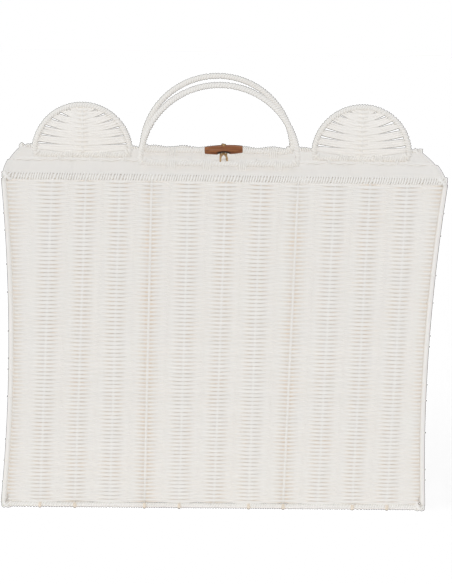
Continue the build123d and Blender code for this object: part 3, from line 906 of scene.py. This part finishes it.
# ---- ears
def ear(side):
    """An ear: wrapped hoop, and strands bowed between its sides over and under the spine."""
    count = 21
    first = 3.4 * MM                # the lowest strand's height over the bar, at the spine
    below_top = 2.5 * MM            # the highest one's distance under the arch
    spine_bend = 4.5 * MM           # how far from the spine a strand is bent round it
    hoop = Bundle(900 + len(side))
    x, y, bar, reach, rise = wrapped_d(f"{side}_ear", hoop, HANDLE_PITCH)
    hoop.build(f"{side}_ear_hoop_reed", "back_half", WRAP, [f"{side}_ear_wrap"])
    weave = Bundle(950 + len(side))
    across = np.linspace(-1, 1, 25)
    radius = (reach ** 2 + rise ** 2) / (2 * rise)
    for j in range(count):
        share = j / (count - 1)
        middle = (first + (rise - below_top - first) * share ** 0.97
                  + 0.22 * MM * weave.rng.uniform(-1, 1))
        theta = share ** 1.12 * math.radians(81) + math.radians(4)
        end_z = min((radius - 2.4 * MM) * math.sin(theta) + rise - radius, rise - 3 * MM)
        end_z = max(end_z, middle)
        end_x = math.sqrt(max((radius - 2.2 * MM) ** 2 - (end_z - rise + radius) ** 2, 1e-8))
        ends = end_z + 0.3 * MM * weave.rng.uniform(-1, 1, 2)
        if j % 3 == 0:              # each three strands are drawn together at their ends
            bunch = weave.rng.uniform(0.5, 1.5, 2) * MM * (share < 0.85)
        ends = ends + (1 - j % 3) * bunch
        bow = np.abs(across) ** (1.5 + 0.5 * share)
        z = bar + middle + np.where(across < 0, ends[0] - middle, ends[1] - middle) * bow
        over = 1 if j % 2 == 0 else -1
        rise_at = over * np.exp(-(across * end_x / spine_bend) ** 2)
        wave = 0.35 * MM * np.sin(9 * across + j)
        line = xyz(x + across * end_x, y + 1.3 * MM * rise_at + wave, z)
        full = 1.62 * MM - 0.22 * MM * np.abs(across) ** 3 + 0.3 * MM * np.maximum(rise_at, 0)
        weave.add(line[None], [0.0, 1.0, 0.0], 0.72 * MM, full[None], rise=0.5 * rise_at[None])
    weave.build(f"{side}_ear_strands", "back_half", LIT_EAR, [f"{side}_ear_weave"])


# ---- toggle, twine and hinge
def smooth_route(points, steps):
    """A smooth curve through a few points."""
    points = np.array(points, float)
    t = np.linspace(0, len(points) - 1, steps)
    i = np.clip(t.astype(int), 0, len(points) - 2)
    f = (t - i)[:, None]
    padded = np.vstack([2 * points[0] - points[1], points, 2 * points[-1] - points[-2]])
    p0, p1, p2, p3 = (padded[i + k] for k in range(4))
    return 0.5 * (2 * p1 + (p2 - p0) * f + (2 * p0 - 5 * p1 + 4 * p2 - p3) * f ** 2
                  + (3 * p1 - p0 - 3 * p2 + p3) * f ** 3)


def twisted(bundle, line, radius, pitch):
    """A three-ply twine along a line."""
    tangent = unit(np.gradient(line, axis=0))
    reference = np.array([1.0, 0.13, 0.2])
    normal = unit(np.cross(tangent, reference))
    binormal = np.cross(tangent, normal)
    distance = run_lengths(line)
    for ply in range(3):
        a = (2 * math.pi * (ply / 3 + distance / pitch))[:, None]
        out = np.cos(a) * normal + np.sin(a) * binormal
        bundle.add((line + 0.5 * radius * out)[None], out[None], 0.55 * radius, 0.62 * radius,
                   bare=0.5)


def toggle_twine():
    """The tie that holds the toggle to the front half, with its knot, and the keeper loop."""
    low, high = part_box("toggle_tie")
    x = (low.x + high.x) / 2
    y = high.y - 2.4 * MM
    top = high.z - 2.4 * MM
    tie = Bundle(41)
    foot = low.z + 5.0 * MM
    front = low.y + 0.9 * MM
    for side in (-1, 1):
        route = [(0.8, y, top - 0.5 * MM), (0.8, y, foot + 3.0 * MM),
                 (1.2, y - 0.8 * MM, foot + 0.4 * MM), (2.6, (y + front) / 2, foot - 0.4 * MM),
                 (3.3, front + 1.0 * MM, foot - 0.8 * MM), (3.4, front, foot - 2.6 * MM),
                 (3.4, front, low.z)]
        route = [(x + side * apart * MM, at_y, at_z) for apart, at_y, at_z in route]
        twisted(tie, smooth_route(route, 60), 0.95 * MM, 3.2 * MM)
    knot = [(x + 2.0 * MM * math.cos(2.4 * k) * (1 - 0.04 * k), y + 1.9 * MM * math.sin(2.4 * k),
             top + (0.5 + 0.9 * math.sin(1.7 * k)) * MM) for k in range(9)]
    twisted(tie, smooth_route(knot, 90), 0.75 * MM, 2.6 * MM)
    tie.build("toggle_tie_twine", "front_half", TWINE, ["toggle_tie"])
    cord = 0.8 * MM
    low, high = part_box("keeper_loop")
    x = (low.x + high.x) / 2
    half = (high.x - low.x) / 2 - cord
    back = high.y - cord
    ring_z = high.z - cord
    centre_y = low.y + cord + half
    angles = [math.radians(a) for a in (180, 225, 270, 315, 360)]
    bow = [(x + half * math.cos(a), centre_y + half * math.sin(a), ring_z) for a in angles]
    tail = [(centre_y + 1.8 * MM, ring_z), (back - 2.5 * MM, low.z + 4.6 * MM),
            (back - 0.3 * MM, low.z + 3.2 * MM), (back, low.z)]
    left = [(x - half, at_y, at_z) for at_y, at_z in reversed(tail)]
    right = [(x + half, at_y, at_z) for at_y, at_z in tail]
    loop = Bundle(43)
    twisted(loop, smooth_route(left + bow + right, 110), cord, 2.8 * MM)
    loop.build("keeper_loop_twine", "back_half", TWINE, ["keeper_loop"])


def stake_ends(h):
    """Cut ends of stakes that poke out under the bottom edge of the face."""
    bundle = Bundle(1000 + h.s)
    low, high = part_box(f"{h.name}_bottom_edge_wrap")
    y = (low.y + high.y) / 2
    for k, x in enumerate(h.stakes_x(np.array(h.low_z))):
        if k % 3 == 2:              # every third one is tucked in
            continue
        start = (x, y + h.s * 2.0 * MM, high.z)
        middle = (x, y + h.s * 3.3 * MM, (low.z + high.z) / 2)
        end = (x, y + h.s * 2.0 * MM, low.z + 0.8 * MM)
        bundle.add(smooth_route([start, middle, end], 7)[None], [0.0, h.s, 0.0], 1.0 * MM, 1.5 * MM,
                   bare=0.9, sides=8)
    bundle.build(f"{h.name}_stake_ends", h.body, RAW)


# ---- CAD nodes that stay
def finish_nodes():
    """Procedural materials on the CAD nodes that show as they are, by the ends of their names."""
    looks = ((("_handle_rod", "_ear_rod", "_ear_spine", "hinge_pins"), CANE),
             ("_hinge_bands", WRAP), ("toggle", WOOD))
    for ends, material in looks:
        for name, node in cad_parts.items():
            if name.endswith(ends):
                node.data.materials.clear()
                node.data.materials.append(material)


# ---- stage
def stage():
    """A plain pale floor, white surroundings that light the trunk less brightly than they
    show, and three lamps."""
    reach = 4.0
    corners = [(-reach, -reach, 0), (reach, -reach, 0), (reach, reach, 0), (-reach, reach, 0)]
    floor_mesh = bpy.data.meshes.new("floor")
    floor_mesh.from_pydata(corners, [], [(0, 1, 2, 3)])
    floor = bpy.data.objects.new("floor", floor_mesh)
    scene.collection.objects.link(floor)
    material, shader, node, link, where = new_material("pale_floor", 0.9)
    link(mix_colour(node, noise(node, where, 2.0), (0.93, 0.93, 0.93, 1), (0.96, 0.96, 0.96, 1)),
         shader.inputs["Base Color"])
    floor_mesh.materials.append(material)
    floor.is_shadow_catcher = True
    world = bpy.data.worlds.new("studio")
    world.use_nodes = True
    tree = world.node_tree
    node = node_maker(tree)
    sight = node("ShaderNodeLightPath").outputs
    seen = node("ShaderNodeMath", {0: sight["Is Camera Ray"], 1: sight["Is Glossy Ray"]},
                operation="MAXIMUM").outputs[0]
    strength = node("ShaderNodeMapRange", {0: seen, 3: STUDIO_LIGHT, 4: 1.0}).outputs[0]
    background = tree.nodes["Background"].inputs
    background[0].default_value = (1, 1, 1, 1)
    tree.links.new(strength, background[1])
    scene.world = world
    soft_lamp("front", (-0.35, -1.7, 0.6), FRONT_LIGHT, math.radians(24), False)
    soft_lamp("side", (-1.8, -0.55, 0.7), SIDE_LIGHT, math.radians(30))
    soft_lamp("rear", (0.6, 0.8, 1.6), REAR_LIGHT, math.radians(50), False)
    scene.view_settings.view_transform = "Standard"
    scene.cycles.max_bounces = 12
    scene.cycles.diffuse_bounces = 10


def soft_lamp(name, direction, strength, size, shadow=True):
    """A broad soft lamp far away in a direction. A fill lamp casts no shadow."""
    light = bpy.data.lights.new(name, "SUN")
    light.energy = strength
    light.angle = size
    light.use_shadow = shadow
    lamp = bpy.data.objects.new(name, light)
    lamp.rotation_euler = (-Vector(direction)).to_track_quat("-Z", "Y").to_euler()
    scene.collection.objects.link(lamp)


def camera():
    """A long lens a little left of the middle, looking down on the front."""
    yaw, pitch, roll = -0.029, 0.258, 0.020
    level = math.cos(pitch)
    forward = Vector((-math.sin(yaw) * level, math.cos(yaw) * level, -math.sin(pitch)))
    right = Vector((math.cos(yaw), math.sin(yaw), 0))
    up = right.cross(forward)
    tilted_right = right * math.cos(roll) + up * math.sin(roll)
    tilted_up = up * math.cos(roll) - right * math.sin(roll)
    lens = bpy.data.cameras.new("camera")
    lens.sensor_fit = "VERTICAL"
    lens.sensor_height = 36.0
    lens.lens = 101.7
    eye = bpy.data.objects.new("camera", lens)
    turn = Matrix((tilted_right, tilted_up, -forward)).transposed().to_4x4()
    eye.matrix_world = Matrix.Translation((-0.0437, -1.6896, 0.655)) @ turn
    scene.collection.objects.link(eye)
    scene.camera = eye


# ---- the whole trunk
camera()
stage()
for half in HALVES:
    shell_weave(half)
    flat_weave(half, "top_weave", 1.0, half.depth_rods[1])
    flat_weave(half, "bottom_weave", -1.0, half.depth_rods[0])
    stakes(half)
    edge_wrap(half, "top")
    edge_wrap(half, "bottom")
    rim(half)
    handle(half)
    stake_ends(half)
lashings()
ear("left")
ear("right")
toggle_twine()
finish_nodes()
